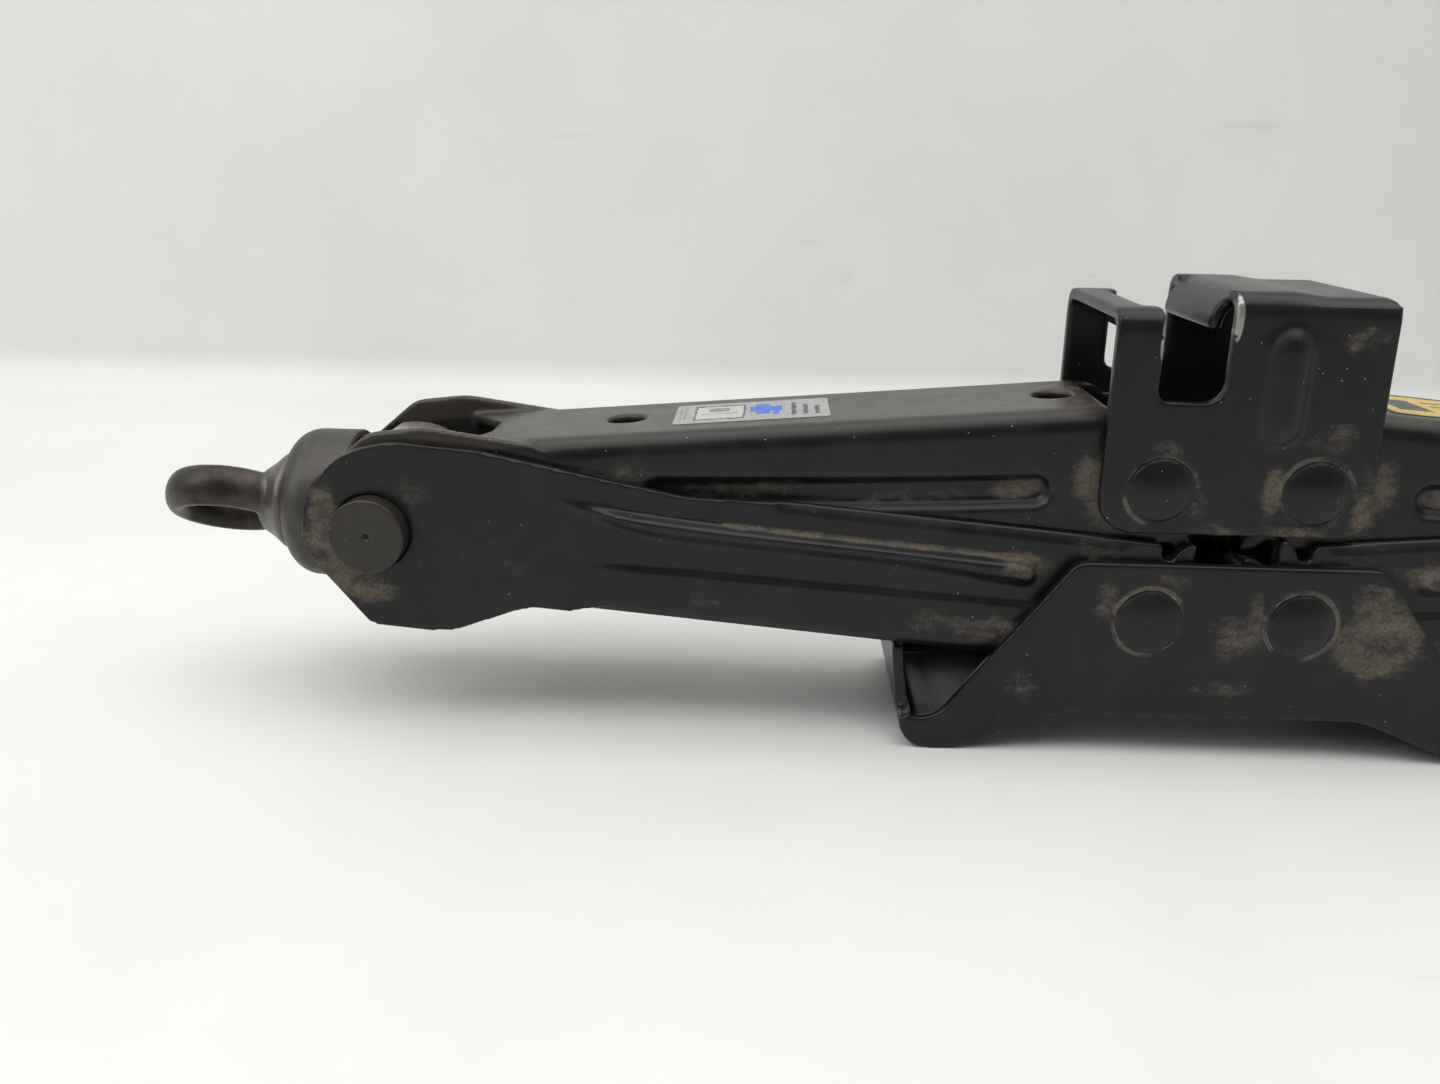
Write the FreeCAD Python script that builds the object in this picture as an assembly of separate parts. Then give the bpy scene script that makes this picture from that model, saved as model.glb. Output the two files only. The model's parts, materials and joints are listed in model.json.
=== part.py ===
"""Folding scissor jack for a car: four pressed steel arms, a base, a saddle and a lead screw.

Frame: +X along the jack towards the nut end, +Y towards the back, +Z up. The origin is on the floor,
under the middle of the base. Millimetres and degrees. The jack is drawn folded flat.
"""

import FreeCAD, Part
import math
import os

from FreeCAD import Placement, Rotation, Vector

# ---- driving dimensions -------------------------------------------------------------------------

ARM_LENGTH = 160.0  # from the trunnion axis to the geared pivot
PIVOT_SPACING = 30.4  # between the two pins of the base, and of the saddle
REST_ANGLE = 4.8  # slope of every arm with the jack folded
BASE_PIN_Z = 30.0
SHEET = 2.6  # thickness of all pressed parts
LAYER_GAP = 0.2  # air between two pressed parts that turn on each other
UPPER_INSIDE = 16.6  # half of the clear width inside the upper arms

GEAR_TEETH = 13  # on a whole circle; an arm end carries only the few it uses
PRESSURE_ANGLE = 25.0
TIP_RADIUS = 17.5
ROOT_RADIUS = 12.7
BACKLASH = 0.3
LEFT_PHASE = -16.5  # angle of the first tooth of a left arm, from the arm's own centre line
FULL_TEETH = 4

PIN_RADIUS = 5.0
PIN_HEAD_RADIUS = 7.15
PIN_HEAD_HEIGHT = 1.6
RUNNING_CLEARANCE = 0.05
OPEN_PIVOT_CLEARANCE = 0.25  # upper right arm on the nut trunnion

TRUNNION_RADIUS = 7.8
TRUNNION_END = 26.2
BLOCK_RADIUS = 15.4
BOSS_RADIUS = 14.3

SCREW_RADIUS = 6.0
SCREW_START = 27.0  # how far past the drive trunnion the screw reaches into the eye forging
SCREW_END = 30.0  # how far it stands out past the nut trunnion

CUP_RADIUS = 16.3
CUP_WALL = 1.5
CUP_RIM = 8.3  # distances from the drive trunnion's axis, outwards along the screw
CUP_FACE = 23.2

# ---- layout worked out from them ----------------------------------------------------------------

UPPER_OUTSIDE = UPPER_INSIDE + SHEET
LOWER_INSIDE = UPPER_OUTSIDE + LAYER_GAP
LOWER_OUTSIDE = LOWER_INSIDE + SHEET
BASE_INSIDE = LOWER_OUTSIDE + LAYER_GAP
BASE_OUTSIDE = BASE_INSIDE + SHEET

RISE = ARM_LENGTH * math.sin(math.radians(REST_ANGLE))
PIN_X = PIVOT_SPACING / 2
TRUNNION_X = PIN_X + ARM_LENGTH * math.cos(math.radians(REST_ANGLE))
TRUNNION_Z = BASE_PIN_Z + RISE
SADDLE_PIN_Z = TRUNNION_Z + RISE
PITCH_RADIUS = PIVOT_SPACING / 2
TOOTH_STEP = 360.0 / GEAR_TEETH
RIGHT_PHASE = LEFT_PHASE + TOOTH_STEP / 2
BASE_CIRCLE = PITCH_RADIUS * math.cos(math.radians(PRESSURE_ANGLE))

# ---- plain shapes -------------------------------------------------------------------------------


def rounded_wire(corners, place):
    """A closed wire through (a, b, radius) corners; place turns (a, b) into a point in space."""
    count = len(corners)
    ends = []
    for i in range(count):
        a, b, radius = corners[i]
        here = Vector(a, b, 0)
        before = Vector(*corners[i - 1][:2], 0) - here
        after = Vector(*corners[(i + 1) % count][:2], 0) - here
        before.normalize()
        after.normalize()
        if radius <= 0:
            ends.append((here, None, here))
            continue
        half = before.getAngle(after) / 2
        reach = radius / math.tan(half)
        middle = before + after
        middle.normalize()
        deep = here + middle * (radius / math.sin(half) - radius)
        ends.append((here + before * reach, deep, here + after * reach))
    edges = []
    for i in range(count):
        start, deep, end = ends[i]
        if deep is not None:
            edges.append(Part.Arc(place(start), place(deep), place(end)).toShape())
        following = ends[(i + 1) % count][0]
        if end.distanceToPoint(following) > 1e-6:
            edges.append(Part.LineSegment(place(end), place(following)).toShape())
    return Part.Wire(edges)


def side_plate(corners, y_low, y_high):
    """A plate whose outline is drawn from the side, as (x, z, radius) corners."""
    wire = rounded_wire(corners, lambda p: Vector(p.x, y_low, p.y))
    return Part.Face(wire).extrude(Vector(0, y_high - y_low, 0))


def end_section(corners, x_low, x_high):
    """A bar along X whose section is drawn from its end, as (y, z, radius) corners."""
    wire = rounded_wire(corners, lambda p: Vector(x_low, p.x, p.y))
    return Part.Face(wire).extrude(Vector(x_high - x_low, 0, 0))


def top_plate(corners, z_low, z_high):
    """A plate whose outline is drawn from above, as (x, y, radius) corners."""
    wire = rounded_wire(corners, lambda p: Vector(p.x, p.y, z_low))
    return Part.Face(wire).extrude(Vector(0, 0, z_high - z_low))


def box(x_low, x_high, y_low, y_high, z_low, z_high):
    corner = Vector(x_low, y_low, z_low)
    return Part.makeBox(x_high - x_low, y_high - y_low, z_high - z_low, corner)


def rod_y(x, z, radius, y_low, y_high):
    return Part.makeCylinder(radius, y_high - y_low, Vector(x, y_low, z), Vector(0, 1, 0))


def rod_z(x, y, radius, z_low, z_high):
    return Part.makeCylinder(radius, z_high - z_low, Vector(x, y, z_low), Vector(0, 0, 1))


def turned_x(profile):
    """A body turned about the X axis from its (x, radius) half profile."""
    points = [Vector(x, 0, radius) for x, radius in profile]
    face = Part.Face(Part.makePolygon(points + points[:1]))
    return face.revolve(Vector(0, 0, 0), Vector(1, 0, 0), 360)


def both_sides(shape):
    """The shape with its mirror image on the other side of the jack's middle plane."""
    return shape.fuse(shape.mirror(Vector(0, 0, 0), Vector(0, 1, 0)))


def joined(shapes):
    whole = shapes[0].fuse(shapes[1:])
    return whole.removeSplitter()


def channel(half_width, web, tip, bend, x_low, x_high):
    """A U section along X: its web lies at height web and its flanges run to height tip."""
    inward = -SHEET if web > tip else SHEET
    inner = half_width - SHEET
    corners = [
        (-half_width, tip, 0),
        (-half_width, web, bend),
        (half_width, web, bend),
        (half_width, tip, 0),
        (inner, tip, 0),
        (inner, web + inward, bend - SHEET),
        (-inner, web + inward, bend - SHEET),
        (-inner, tip, 0),
    ]
    return end_section(corners, x_low, x_high)


def raised_bead(start, end, radius, proud, face_y):
    """A round-ended ridge pressed out of a flange towards -Y; start and end are (x, z)."""
    depth = face_y + radius - proud
    first = Vector(start[0], depth, start[1])
    last = Vector(end[0], depth, end[1])
    bar = Part.makeCylinder(radius, (last - first).Length, first, last - first)
    ridge = bar.fuse([Part.makeSphere(radius, first), Part.makeSphere(radius, last)])
    reach = ARM_LENGTH * 2
    return ridge.common(box(-reach, reach, face_y - radius, face_y + SHEET / 2, -reach, reach))


# ---- arms, drawn with the trunnion at the origin and the geared pivot at x = ARM_LENGTH ----------


def tooth_half_angle(radius):
    """Half of the angle that an involute tooth takes up at a radius, in radians."""

    def involute(angle):
        return math.tan(angle) - angle

    at_pitch = math.pi / 2 / GEAR_TEETH - BACKLASH / 4 / PITCH_RADIUS
    at_radius = math.acos(min(1.0, BASE_CIRCLE / radius))
    return at_pitch + involute(math.radians(PRESSURE_ANGLE)) - involute(at_radius)


def gear_tooth(angle, y_low, y_high):
    """One tooth with its root sunk into the arm end, at an angle about the geared pivot."""

    def point(radius, side):
        turn = math.radians(angle) + side * tooth_half_angle(radius)
        return Vector(ARM_LENGTH + radius * math.cos(turn), y_low, radius * math.sin(turn))

    steps = 5
    radii = [BASE_CIRCLE + (TIP_RADIUS - BASE_CIRCLE) * k / steps for k in range(steps + 1)]
    sunk = ROOT_RADIUS - 1.0
    edges = []
    for side in (-1, 1):
        flank = Part.BSplineCurve()
        flank.interpolate([point(radius, side) for radius in radii])
        edges.append(flank.toShape())
        edges.append(Part.LineSegment(point(sunk, side), point(BASE_CIRCLE, side)).toShape())
    for radius in (sunk, TIP_RADIUS):
        edges.append(Part.LineSegment(point(radius, -1), point(radius, 1)).toShape())
    wire = Part.Wire(Part.__sortEdges__(edges))
    return Part.Face(wire).extrude(Vector(0, y_high - y_low, 0))


def geared_flange(outline, edge_height, phase, y_low, y_high):
    """One arm flange: its plate, the round end at the pivot, and the teeth.

    outline(end) gives the plate's corners when its toothed-side edge stops at x = end. The last
    tooth is the flange's own edge, so it is cut off at edge_height.
    """
    last_tooth = phase + FULL_TEETH * TOOTH_STEP
    last_valley = last_tooth - TOOTH_STEP / 2
    edge_end = ARM_LENGTH + PITCH_RADIUS * math.cos(math.radians(last_tooth))
    cut_end = ARM_LENGTH + ROOT_RADIUS * math.cos(math.radians(last_valley))
    parts = [side_plate(outline(edge_end), y_low, y_high)]
    parts.append(rod_y(ARM_LENGTH, 0, ROOT_RADIUS, y_low, y_high))
    for k in range(FULL_TEETH):
        parts.append(gear_tooth(phase + k * TOOTH_STEP, y_low, y_high))
    over = box(edge_end - TIP_RADIUS, cut_end, y_low, y_high, edge_height, TIP_RADIUS * 2)
    parts.append(gear_tooth(last_tooth, y_low, y_high).cut(over))
    return joined(parts)


LOWER_WEB = -12.7  # height of the lower arm's web, outside face
LOWER_EDGE = 15.7  # height of the flanges' free edge near the gear
LOWER_BEND = 4.2
LOWER_WEB_START = 27.0
LOWER_WEB_END = 156.0


def lower_outline(edge_end):
    return [
        (-14.4, 5.5, 16),
        (-7.5, 15.8, 16),
        (2.5, 19.3, 20),
        (21.0, 19.4, 30),
        (64.0, 14.4, 30),
        (88.0, LOWER_EDGE, 30),
        (edge_end, LOWER_EDGE, 0),
        (edge_end, 0, 0),
        (ARM_LENGTH, 0, 0),
        (ARM_LENGTH, LOWER_WEB, 0),
        (33.5, LOWER_WEB, 18),
        (17.0, -20.4, 16),
        (0.3, -20.4, 3),
        (-15.0, -4.7, 10),
    ]


def lower_arm(phase):
    """A lower arm: a channel open upwards, with its web cut away at the elbow and at the gear."""
    flange = geared_flange(lower_outline, LOWER_EDGE, phase, -LOWER_OUTSIDE, -LOWER_INSIDE)
    bend_zone = [
        (LOWER_WEB_START + 5.0, LOWER_WEB - 3.0, 0),
        (LOWER_WEB_START + 30.0, LOWER_WEB + LOWER_BEND, 0),
        (LOWER_WEB_END, LOWER_WEB + LOWER_BEND, 0),
        (LOWER_WEB_END, LOWER_WEB - 3.0, 0),
    ]
    flange = flange.cut(side_plate(bend_zone, -LOWER_OUTSIDE - 1, -LOWER_INSIDE + 1))
    bead = raised_bead((50.0, 8.0), (131.0, 7.4), 3.6, 1.9, -LOWER_OUTSIDE)
    sides = both_sides(flange.fuse(bead))
    trough = channel(LOWER_OUTSIDE, LOWER_WEB, 0, LOWER_BEND, LOWER_WEB_START, LOWER_WEB_END)
    arm = joined([sides, trough])
    reach = BASE_OUTSIDE
    arm = arm.cut(rod_y(0, 0, TRUNNION_RADIUS + RUNNING_CLEARANCE, -reach, reach))
    return arm.cut(rod_y(ARM_LENGTH, 0, PIN_RADIUS + RUNNING_CLEARANCE, -reach, reach))


UPPER_WEB = 16.3
UPPER_EDGE = -11.5
UPPER_BEND = 4.4
UPPER_WEB_START = 14.0
UPPER_WEB_END = 151.0
WEB_HOLE_RADIUS = 4.1
WEB_HOLES = (52.1, 143.1)


def upper_outline(edge_end):
    return [
        (-13.5, 9.5, 6),
        (1.0, 20.0, 7),
        (13.0, 20.4, 16),
        (36.0, UPPER_WEB - 1.0, 20),
        (46.0, UPPER_WEB - 1.0, 0),
        (ARM_LENGTH - 3.0, UPPER_WEB - 1.0, 5),
        (ARM_LENGTH + 2.0, 0, 0),
        (edge_end, 0, 0),
        (edge_end, UPPER_EDGE, 0),
        (-8.0, UPPER_EDGE, 8),
        (-14.0, -4.0, 8),
    ]


def upper_arm(phase, holes, clearance):
    """An upper arm: a channel open downwards that nests inside the lower arm."""

    def mirrored(edge_end):
        return [(x, -z, radius) for x, z, radius in upper_outline(edge_end)]

    flange = geared_flange(mirrored, -UPPER_EDGE, phase, -UPPER_OUTSIDE, -UPPER_INSIDE)
    flange = flange.mirror(Vector(0, 0, 0), Vector(0, 0, 1))
    bend_zone = [
        (UPPER_WEB_START + 8.0, UPPER_WEB + 8.0, 0),
        (UPPER_WEB_START + 26.0, UPPER_WEB - UPPER_BEND, 0),
        (UPPER_WEB_END, UPPER_WEB - UPPER_BEND, 0),
        (UPPER_WEB_END, UPPER_WEB + 8.0, 0),
    ]
    flange = flange.cut(side_plate(bend_zone, -UPPER_OUTSIDE - 1, -UPPER_INSIDE + 1))
    cover = channel(UPPER_OUTSIDE, UPPER_WEB, 0, UPPER_BEND, UPPER_WEB_START, UPPER_WEB_END)
    arm = joined([both_sides(flange), cover])
    arm = arm.cut(upper_notch())
    for x in holes:
        arm = arm.cut(rod_z(x, 0, WEB_HOLE_RADIUS, UPPER_WEB - SHEET * 2, UPPER_WEB + SHEET))
    reach = BASE_OUTSIDE
    arm = arm.cut(rod_y(0, 0, TRUNNION_RADIUS + clearance, -reach, reach))
    return arm.cut(rod_y(ARM_LENGTH, 0, PIN_RADIUS + RUNNING_CLEARANCE, -reach, reach))


def upper_notch():
    """The bay in the upper arm's web that lets the trunnion and the bearing cup through."""
    bay = [
        (-20.0, -UPPER_INSIDE, 0),
        (14.5, -UPPER_INSIDE, 3),
        (23.0, -6.0, 5),
        (23.0, 6.0, 5),
        (14.5, UPPER_INSIDE, 3),
        (-20.0, UPPER_INSIDE, 0),
    ]
    return top_plate(bay, UPPER_WEB - SHEET * 3, UPPER_WEB + 1)


def placed_arm(arm, slope):
    """Put an arm on the left half of the jack, its trunnion end at the left elbow."""
    arm.Placement = Placement(
        Vector(-TRUNNION_X, 0, TRUNNION_Z), Rotation(Vector(0, 1, 0), slope)
    )
    return arm


def swapped(shape):
    """The mirror image on the nut's side of the jack."""
    return shape.mirror(Vector(0, 0, 0), Vector(1, 0, 0))


# ---- base and saddle ----------------------------------------------------------------------------

BASE_MIDDLE = 9.0  # height of the raised middle of the tray
BASE_FOOT_X = 58.0
BASE_WALL_TOP = 20.6
BASE_NOTCH = 7.0  # height of the side flanges beside the end walls
END_WALL_HALF = 19.0


def base_bracket():
    """The pressed tray: two feet, a raised middle, leaning end walls, and the two side flanges."""

    def both_ends(half):
        return half + [(-x, z, radius) for x, z, radius in reversed(half)]

    underside = [
        (66.0, BASE_WALL_TOP, 0),
        (63.5, 0, 6),
        (53.0, 0, 9),
        (31.0, BASE_MIDDLE, 14),
    ]
    topside = [
        (-31.6, BASE_MIDDLE + SHEET, 12),
        (-53.6, SHEET, 11),
        (-61.4, SHEET, 3.4),
        (-63.4, BASE_WALL_TOP, 0),
    ]
    inner_half = [(-x, z, radius) for x, z, radius in reversed(topside)]
    tray = side_plate(
        both_ends(underside)[::-1] + both_ends(inner_half), -BASE_OUTSIDE, BASE_OUTSIDE
    )
    flange_top = [
        (30.5, 42.2, 5),
        (51.5, 14.0, 30),
        (56.5, BASE_NOTCH, 7),
        (64.3, BASE_NOTCH, 0),
    ]
    flange_low = [
        (63.5, 0, 6),
        (53.0, 0, 9),
        (31.0, BASE_MIDDLE, 14),
    ]
    half = flange_top + flange_low
    outline = half + [(-x, z, radius) for x, z, radius in reversed(flange_low)]
    outline += [(-x, z, radius) for x, z, radius in reversed(flange_top)]
    flange = side_plate(outline, -BASE_OUTSIDE, -BASE_INSIDE)
    bracket = joined([tray, both_sides(flange)])
    wide = BASE_OUTSIDE + 1
    beyond = BASE_FOOT_X * 2
    shoulders = box(-beyond, beyond, -wide, wide, BASE_NOTCH, BASE_PIN_Z)
    shoulders = shoulders.cut(box(-beyond, beyond, -END_WALL_HALF, END_WALL_HALF, 0, BASE_PIN_Z))
    inside = BASE_FOOT_X + 4.5
    bracket = bracket.cut(shoulders.cut(box(-inside, inside, -wide, wide, 0, BASE_PIN_Z)))
    for side in (-1, 1):
        hole = rod_y(side * PIN_X, BASE_PIN_Z, PIN_RADIUS, -BASE_OUTSIDE, BASE_OUTSIDE)
        bracket = bracket.cut(hole)
    return bracket


SADDLE_LEFT = -27.0
SADDLE_RIGHT = 26.0
SADDLE_BOTTOM = 47.7
POST_TOP = 92.3
PLATE_TOP = 95.8
SLOT_LEFT = -17.8
SLOT_RIGHT = -5.0
SLOT_BOTTOM = 74.4
SADDLE_BEND = 4.2
LIP_REACH = 6.0  # length of web that each bent lip takes up
NOSE_BEND = 7.0
NOSE_DROP = 8.0


def saddle_bracket():
    """The head that takes the car's sill: an inverted channel with a slot across its top."""
    outline = [
        (SADDLE_LEFT, PLATE_TOP, 0),
        (SADDLE_LEFT, SADDLE_BOTTOM, 7),
        (SADDLE_RIGHT + 0.6, SADDLE_BOTTOM, 5),
        (SADDLE_RIGHT, PLATE_TOP, 2),
    ]
    body = side_plate(outline, -LOWER_OUTSIDE, LOWER_OUTSIDE)
    split = (SLOT_LEFT + SLOT_RIGHT) / 2
    post = channel(LOWER_OUTSIDE, POST_TOP, 40, SADDLE_BEND, SADDLE_LEFT, split)
    plate = channel(LOWER_OUTSIDE, PLATE_TOP, 40, SADDLE_BEND, split, SADDLE_RIGHT + 1)
    head = post.fuse(plate).common(body)
    slot = [
        (SLOT_LEFT, PLATE_TOP + 5, 0),
        (SLOT_LEFT, SLOT_BOTTOM, 2),
        (SLOT_RIGHT, SLOT_BOTTOM, 4),
        (SLOT_RIGHT, PLATE_TOP + 5, 0),
    ]
    head = head.cut(side_plate(slot, -LOWER_OUTSIDE - 1, LOWER_OUTSIDE + 1))
    lip_half = LOWER_INSIDE - SADDLE_BEND
    for x_low, top in ((SLOT_RIGHT, PLATE_TOP), (SLOT_LEFT - LIP_REACH, POST_TOP)):
        relief = box(x_low, x_low + LIP_REACH, -lip_half, lip_half, top - SHEET, top)
        head = head.cut(relief)
    pieces = [head]
    for lip_corners in saddle_lips():
        pieces.append(side_plate(lip_corners, -lip_half, lip_half))
    bead = raised_bead((6.2, 70.5), (6.2, 85.0), 8.0, 1.4, -LOWER_OUTSIDE)
    pieces.append(both_sides(bead))
    saddle = joined(pieces)
    for side in (-1, 1):
        hole = rod_y(side * PIN_X, SADDLE_PIN_Z, PIN_RADIUS, -LOWER_OUTSIDE, LOWER_OUTSIDE)
        saddle = saddle.cut(hole)
    return saddle


def saddle_lips():
    """The web's two edges at the slot, bent down so that the sill's flange slides in."""
    nose = [
        (SLOT_RIGHT + LIP_REACH, PLATE_TOP, 0),
        (SLOT_RIGHT - SHEET, PLATE_TOP, NOSE_BEND),
        (SLOT_RIGHT - SHEET, PLATE_TOP - NOSE_DROP, 0),
        (SLOT_RIGHT, PLATE_TOP - NOSE_DROP, 0),
        (SLOT_RIGHT, PLATE_TOP - SHEET, NOSE_BEND - SHEET),
        (SLOT_RIGHT + LIP_REACH, PLATE_TOP - SHEET, 0),
    ]
    post = [
        (SLOT_LEFT - LIP_REACH, POST_TOP, 0),
        (SLOT_LEFT + 0.4, POST_TOP, 4.6),
        (SLOT_LEFT + 0.4, POST_TOP - 7.0, 0),
        (SLOT_LEFT + 0.4 - SHEET, POST_TOP - 7.0, 0),
        (SLOT_LEFT + 0.4 - SHEET, POST_TOP - SHEET, 2),
        (SLOT_LEFT - LIP_REACH, POST_TOP - SHEET, 0),
    ]
    return nose, post


def rivet(x, z, face_y):
    """A pivot pin with a low domed head set against each outer face of the bracket it joins."""
    shank = rod_y(x, z, PIN_RADIUS, -face_y, face_y)
    ball = (PIN_HEAD_RADIUS**2 + PIN_HEAD_HEIGHT**2) / (2 * PIN_HEAD_HEIGHT)
    dome = Part.makeSphere(ball, Vector(x, -face_y - PIN_HEAD_HEIGHT + ball, z))
    dome = dome.common(rod_y(x, z, PIN_HEAD_RADIUS, -face_y - PIN_HEAD_HEIGHT, -face_y))
    return joined([shank, both_sides(dome)])


# ---- drive line, drawn along X with each trunnion's axis at the origin ---------------------------

THRUST_SEAT = 11.6  # the drive block's flat, where the thrust bearing starts
BOSS_STEP = 4.0  # the turned boss ends here and the round body goes on
WASHER = 2.2
BALL_RADIUS = 2.2
BALL_CIRCLE = 11.0
BALL_COUNT = 12
HUB_RADIUS = 7.9
CUP_FLOOR = CUP_FACE - CUP_WALL


def trunnion_block(boss_side):
    """A cross block: round body, two journals, and a turned boss on the side the cup covers."""
    body = rod_y(0, 0, BLOCK_RADIUS, -UPPER_INSIDE + LAYER_GAP, UPPER_INSIDE - LAYER_GAP)
    wide = UPPER_INSIDE
    if boss_side:
        boss = turned_x(
            [(-THRUST_SEAT, 0), (-THRUST_SEAT, BOSS_RADIUS), (-BOSS_STEP, BOSS_RADIUS), (-BOSS_STEP, 0)]
        )
        rest = box(-BOSS_STEP, BLOCK_RADIUS, -wide, wide, -BLOCK_RADIUS, BLOCK_RADIUS)
        body = body.common(boss.fuse(rest))
    journal = rod_y(0, 0, TRUNNION_RADIUS, -TRUNNION_END, -UPPER_INSIDE + LAYER_GAP)
    block = body.fuse(both_sides(journal))
    bore = Part.makeCylinder(
        SCREW_RADIUS + RUNNING_CLEARANCE,
        BLOCK_RADIUS * 2,
        Vector(-BLOCK_RADIUS, 0, 0),
        Vector(1, 0, 0),
    )
    for side in (-1, 1):
        tip = side * TRUNNION_END
        dimple = Part.makeCone(0.9, 0.2, 1.4, Vector(0, tip, 0), Vector(0, -side, 0))
        block = block.cut(dimple)
    return block.removeSplitter().cut(bore)


def ring_x(x_low, x_high, inner, outer):
    return turned_x([(x_low, inner), (x_low, outer), (x_high, outer), (x_high, inner)])


def fixed_washer():
    return ring_x(-THRUST_SEAT - WASHER, -THRUST_SEAT, SCREW_RADIUS + 0.3, BOSS_RADIUS - 0.5)


def ball_row():
    """The thrust balls, touching both washers."""
    centre = -THRUST_SEAT - WASHER - BALL_RADIUS
    balls = []
    for k in range(BALL_COUNT):
        turn = 2 * math.pi * k / BALL_COUNT
        place = Vector(centre, BALL_CIRCLE * math.cos(turn), BALL_CIRCLE * math.sin(turn))
        balls.append(Part.makeSphere(BALL_RADIUS, place))
    return balls


def ball_cage():
    """A thin plate with one pocket for each ball."""
    centre = -THRUST_SEAT - WASHER - BALL_RADIUS
    cage = ring_x(centre - 0.6, centre + 0.6, HUB_RADIUS + 0.3, BOSS_RADIUS)
    for k in range(BALL_COUNT):
        turn = 2 * math.pi * k / BALL_COUNT
        place = Vector(centre - 3, BALL_CIRCLE * math.cos(turn), BALL_CIRCLE * math.sin(turn))
        cage = cage.cut(Part.makeCylinder(BALL_RADIUS + 0.1, 6, place, Vector(1, 0, 0)))
    return cage


def turning_washer():
    """The washer that turns with the cup, its back edge chamfered to clear the cup's corner."""
    front = -THRUST_SEAT - WASHER - 2 * BALL_RADIUS
    rim = BOSS_RADIUS - 0.5
    profile = [
        (-CUP_FLOOR, HUB_RADIUS),
        (-CUP_FLOOR, rim - 3.7),
        (-CUP_FLOOR + 1.0, rim - 1.0),
        (-CUP_FLOOR + 2.0, rim),
        (front, rim),
        (front, HUB_RADIUS),
    ]
    return turned_x(profile)


def bearing_cup():
    """The drawn steel cup over the thrust bearing, its open rim facing the trunnion."""
    corner = 6.0
    outer = [
        (-CUP_RIM, 0),
        (-CUP_RIM, CUP_RADIUS),
        (-CUP_FACE, CUP_RADIUS),
        (-CUP_FACE, 0),
    ]
    shell = turned_x(outer)
    edge = [e for e in shell.Edges if abs(e.BoundBox.XMin + CUP_FACE) < 0.01 and e.Length > 50]
    shell = shell.makeFillet(corner, edge)
    hollow = turned_x(
        [
            (-CUP_RIM + 1, 0),
            (-CUP_RIM + 1, CUP_RADIUS - CUP_WALL),
            (-CUP_FLOOR, CUP_RADIUS - CUP_WALL),
            (-CUP_FLOOR, 0),
        ]
    )
    edge = [e for e in hollow.Edges if abs(e.BoundBox.XMin + CUP_FLOOR) < 0.01 and e.Length > 50]
    hollow = hollow.makeFillet(corner - CUP_WALL, edge)
    hub = Part.makeCylinder(HUB_RADIUS, 40, Vector(-40, 0, 0), Vector(1, 0, 0))
    return shell.cut(hollow).cut(hub)


EYE_CENTRE = 38.8
EYE_RING = 10.8  # from the middle of the eye to the middle of its band
EYE_HALF_WIDTH = 4.6  # of the band, along the axis of the eye
EYE_HALF_DEPTH = 2.75  # of the band, outwards from the eye
EYE_TILT = 31.0
EYE_PIN_X = 17.0
EYE_PIN_RADIUS = 1.5


def drive_eye():
    """The forged eye that the crank hooks into, flared to a collar and a hub for the screw."""
    hub_end = -THRUST_SEAT - WASHER - 0.6
    collar = turned_x(
        [
            (hub_end, 0),
            (hub_end, HUB_RADIUS),
            (-CUP_FACE, HUB_RADIUS),
            (-CUP_FACE, 10.8),
            (-CUP_FACE - 1.6, 10.8),
            (-CUP_FACE - 4.2, 8.6),
            (-CUP_FACE - 7.0, 6.8),
            (-CUP_FACE - 7.0, 0),
        ]
    )
    section = Part.Ellipse(
        Vector(EYE_RING, 0, EYE_HALF_WIDTH),
        Vector(EYE_RING + EYE_HALF_DEPTH, 0, 0),
        Vector(EYE_RING, 0, 0),
    )
    band = Part.Face(Part.Wire(section.toShape()))
    ring = band.revolve(Vector(0, 0, 0), Vector(0, 0, 1), 360)
    ring.Placement = Placement(
        Vector(-EYE_CENTRE, 0, 0), Rotation(Vector(1, 0, 0), -EYE_TILT)
    )
    eye = collar.fuse(ring)
    socket = Part.makeCylinder(
        SCREW_RADIUS, SCREW_START, Vector(-SCREW_START, 0, 0), Vector(1, 0, 0)
    )
    pin = rod_z(-EYE_PIN_X, 0, EYE_PIN_RADIUS, -20, 20)
    return eye.removeSplitter().cut(socket).cut(pin)


def eye_pin():
    return rod_z(-EYE_PIN_X, 0, EYE_PIN_RADIUS, -HUB_RADIUS + 0.4, HUB_RADIUS - 0.4)


STOP_X = 20.0
STOP_LENGTH = 7.0
STOP_RADIUS = 9.5


def lead_screw():
    """The screw at its crest diameter, from the eye's socket to the far end past the nut."""
    length = SCREW_START + 2 * TRUNNION_X + SCREW_END
    rod = Part.makeCylinder(
        SCREW_RADIUS, length, Vector(-TRUNNION_X - SCREW_START, 0, TRUNNION_Z), Vector(1, 0, 0)
    )
    tip = [e for e in rod.Edges if e.BoundBox.XMin > 0 and e.Length > SCREW_RADIUS]
    rod = rod.makeChamfer(1.2, tip)
    rod = rod.cut(rod_z(-TRUNNION_X - EYE_PIN_X, 0, EYE_PIN_RADIUS, 0, 90))
    return rod.cut(rod_z(TRUNNION_X + STOP_X + STOP_LENGTH / 2, 0, EYE_PIN_RADIUS, 0, 90))


def stop_collar():
    """The collar pinned to the far end, which keeps the nut on the screw."""
    collar = ring_x(STOP_X, STOP_X + STOP_LENGTH, SCREW_RADIUS, STOP_RADIUS)
    hole = rod_z(STOP_X + STOP_LENGTH / 2, 0, EYE_PIN_RADIUS, -20, 20)
    return collar.makeChamfer(0.8, outer_rims(collar)).cut(hole)


def outer_rims(ring):
    return [e for e in ring.Edges if abs(e.Length - 2 * math.pi * STOP_RADIUS) < 0.1]


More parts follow.
